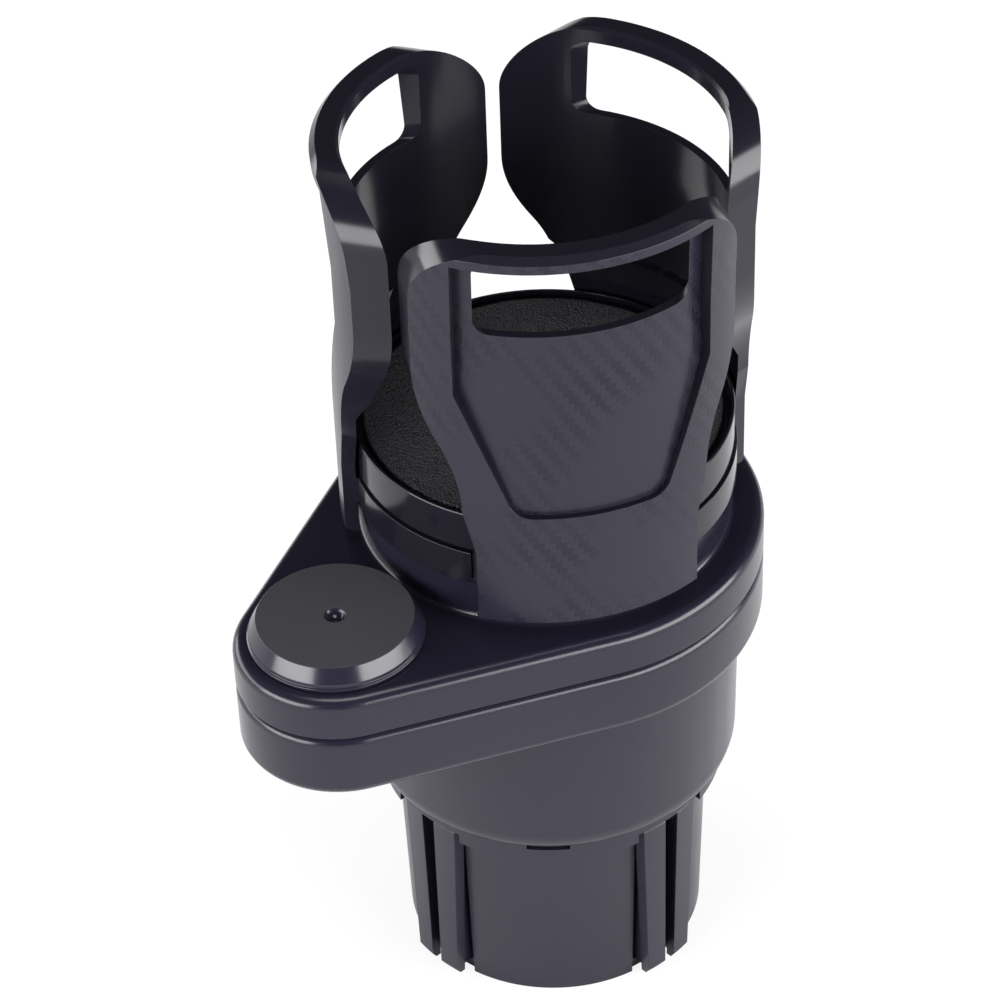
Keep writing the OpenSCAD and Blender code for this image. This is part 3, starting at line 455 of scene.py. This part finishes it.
# The field sinks deeper towards the head, the window's rim is thinned from inside, and the top bar
# has a broader rounding than the other edges
def dressArm(bm, look):
    bm.normal_update()
    rimSheet, field = outerSheets(bm, look["outer"])
    for vert in {vert for face in field for vert in face.verts}:
        rise = (vert.co.z / mm - look["sinkFoot"]) / (look["sinkHead"] - look["sinkFoot"])
        sink = look["sink"][0] + min(max(rise, 0), 1) * (look["sink"][1] - look["sink"][0])
        reach = math.hypot(vert.co.x, vert.co.y)
        vert.co.x *= 1 - sink * mm / reach
        vert.co.y *= 1 - sink * mm / reach
    bm.normal_update()
    middle = sum((vert.co for vert in bm.verts), Vector()) / len(bm.verts)
    across = Vector((-middle.y, middle.x, 0)).normalized()
    slack = look["windowSlack"]

    def inWindow(face):
        centre = face.calc_center_median()
        return (abs(faceOut(face)) < look["lining"]
                and abs(centre.dot(across)) < (look["windowHalf"] + slack) * mm
                and look["windowFoot"] - slack < centre.z / mm < look["windowHead"] + slack)

    def between(edge, oneSide, otherSide):
        return (len(edge.link_faces) == 2 and edge.is_convex and any(map(oneSide, edge.link_faces))
                and any(map(otherSide, edge.link_faces)))

    rim = [edge for edge in bm.edges
           if between(edge, inWindow, lambda face: faceOut(face) < look["inner"])]
    bevelEdges(bm, rim, look["rimThin"], 1)
    top = [edge for edge in bm.edges if isSharp(edge) and between(
        edge, lambda face: face in rimSheet,
        lambda face: face.normal.z > look["up"] and face not in rimSheet)]
    bevelEdges(bm, top, look["topRound"], 3)
    bevelEdges(bm, [edge for edge in bm.edges if isSharp(edge)], look["edgeRound"], 2)
    bm.normal_update()
    for face in bm.faces:
        face.material_index = 1 if faceOut(face) > look["film"] else 0


for name in ("arm_right", "arm_rear", "arm_front"):
    bm = rawCopy(name)
    dressArm(bm, armForm)
    finishPiece(bm, name.replace("_", "-") + "-dressed", name, [armGloss, twillBlack])

# The pivot cap is turned afresh: its bevel mirrors the lamps, and facets would show there. Foot,
# band and top are how far each stands in from the rim, in mm.
capForm = {"foot": 0.7, "footStep": 0.35, "rim": 0.6, "rimSlope": 0.2, "band": 0.4, "bandHigh": 1.9,
           "top": 2.0, "high": 5.0, "wall": 5.0, "plate": 2.4, "turns": 96, "edgeRound": 0.12,
           "sharpAngle": 20, "dimple": 2.4, "dimpleEdge": 25, "dimpleSteps": 5, "dullFrom": 2.2,
           "dullDeep": 2.0}


def makeCap(look):
    cap = nodes["pivot_cap"]
    corners = [cap.matrix_world @ Vector(corner) for corner in cap.bound_box]
    low = Vector([min(corner[axis] for corner in corners) for axis in range(3)])
    high = Vector([max(corner[axis] for corner in corners) for axis in range(3)])
    middle = (low + high) / 2
    radius = (high.x - low.x) / 2 / mm
    top = high.z / mm
    foot = top - look["high"]
    rimTop = foot + look["footStep"] + look["rim"]
    profile = [(0, top - look["plate"]), (radius - look["wall"], top - look["plate"]),
               (radius - look["wall"], foot), (radius - look["foot"], foot),
               (radius - look["foot"], foot + look["footStep"]), (radius, foot + look["footStep"]),
               (radius, rimTop), (radius - look["band"], rimTop + look["rimSlope"]),
               (radius - look["band"], foot + look["bandHigh"]), (radius - look["top"], top)]
    dimpleEdge = math.radians(look["dimpleEdge"])
    for step in range(look["dimpleSteps"] + 1):
        turn = dimpleEdge + (math.pi / 2 - dimpleEdge) * step / look["dimpleSteps"]
        depth = look["dimple"] * (math.sin(turn) - math.sin(dimpleEdge))
        profile.append((look["dimple"] * math.cos(turn), top - depth))
    bm = bmesh.new()
    row = [bm.verts.new((middle.x + reach * mm, middle.y, height * mm)) for reach, height in profile]
    edges = [bm.edges.new(pair) for pair in zip(row, row[1:])]
    bmesh.ops.spin(bm, geom=row + edges, cent=middle, axis=(0, 0, 1), angle=math.radians(360),
                   steps=look["turns"], use_merge=True)
    bmesh.ops.remove_doubles(bm, verts=bm.verts, dist=moulding["mergeGap"] * mm / 2)
    bmesh.ops.recalc_face_normals(bm, faces=bm.faces)
    sharp = [edge for edge in bm.edges if isSharp(edge, look["sharpAngle"])]
    bevelEdges(bm, sharp, look["edgeRound"], 2)
    bm.normal_update()
    for face in bm.faces:
        centre = face.calc_center_median()
        reach = math.hypot(centre.x - middle.x, centre.y - middle.y) / mm
        dull = look["dullFrom"] < reach < radius - look["top"]
        face.material_index = 1 if dull and centre.z > (top - look["dullDeep"]) * mm else 0
    finishPiece(bm, "pivot-cap-turned", "pivot_cap", [capGloss, dullBlack])


makeCap(capForm)

# Nodes whose shape needs no more than its material
plain = {
    "bottom_cover_screws": screwSteel, "deck_screws": screwSteel, "jaw_scroll": shellBlack,
    "jaw_dial_screw": screwSteel, "friction_washer": bushAcetal, "pivot_bush": bushAcetal,
    "retaining_washer": screwSteel, "pivot_screw": screwSteel, "tray_bottom_plate": shellBlack,
    "tray_plate_screws": screwSteel, "cradle_ring_screws": screwSteel, "cradle_scroll": glossBlack,
    "scroll_screws": screwSteel, "dial_washer": screwSteel, "dial_screw": screwSteel,
}
for name, material in plain.items():
    nodes[name].data.materials.clear()
    nodes[name].data.materials.append(material)
print("pieces dressed")
